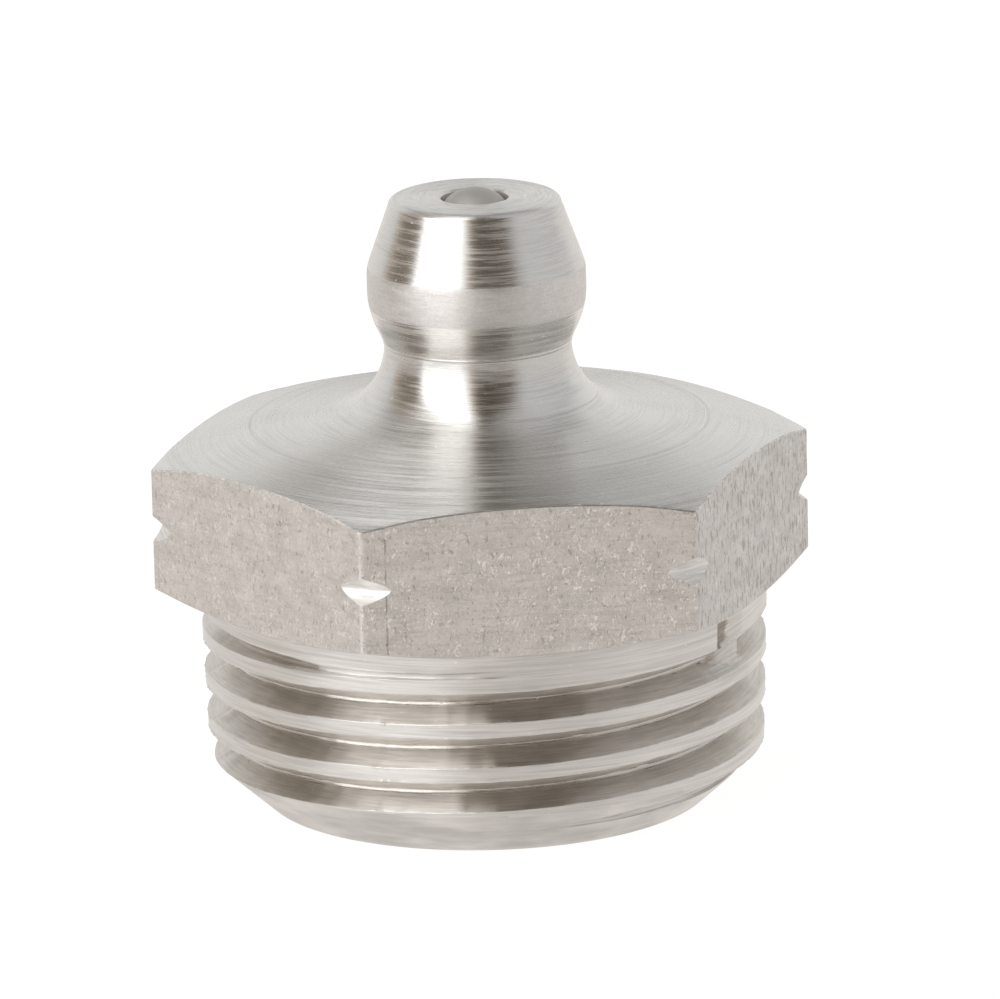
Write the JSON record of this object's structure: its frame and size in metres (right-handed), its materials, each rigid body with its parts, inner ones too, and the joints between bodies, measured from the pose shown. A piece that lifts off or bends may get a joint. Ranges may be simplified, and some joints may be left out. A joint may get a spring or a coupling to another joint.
{
  "type": "straight lubrication nipple",
  "caption": "Straight conical-head lubrication nipple with a hexagon, a short taper pipe thread and a spring-loaded ball check valve in its head.",
  "frame": {"origin": "centre of the screwed end face, on the nipple's axis", "axes": "+Z along the nipple from the screwed end to the head; wrench flats face +Y and -Y; hexagon corners on +X and -X"},
  "size_m": [0.0196, 0.017, 0.0183],
  "materials": {
    "body_steel": "turned stainless steel, drawn hexagon flats",
    "ball_steel": "polished stainless ball",
    "spring_steel": "drawn stainless spring wire",
    "retainer_steel": "turned stainless steel"
  },
  "bodies": {
    "body": {"nipple_body": "body_steel", "spring_retainer": "retainer_steel", "valve_spring": "spring_steel"},
    "ball": {"valve_ball": "ball_steel"}
  },
  "joints": [
    {"name": "valve_lift", "type": "slide", "parent": "body", "child": "ball", "axis": [0, 0, -1], "range_m": [0, 0.001], "stiffness_N_per_m": 1040, "springref_m": -0.001, "deforming": ["valve_spring"]}
  ]
}
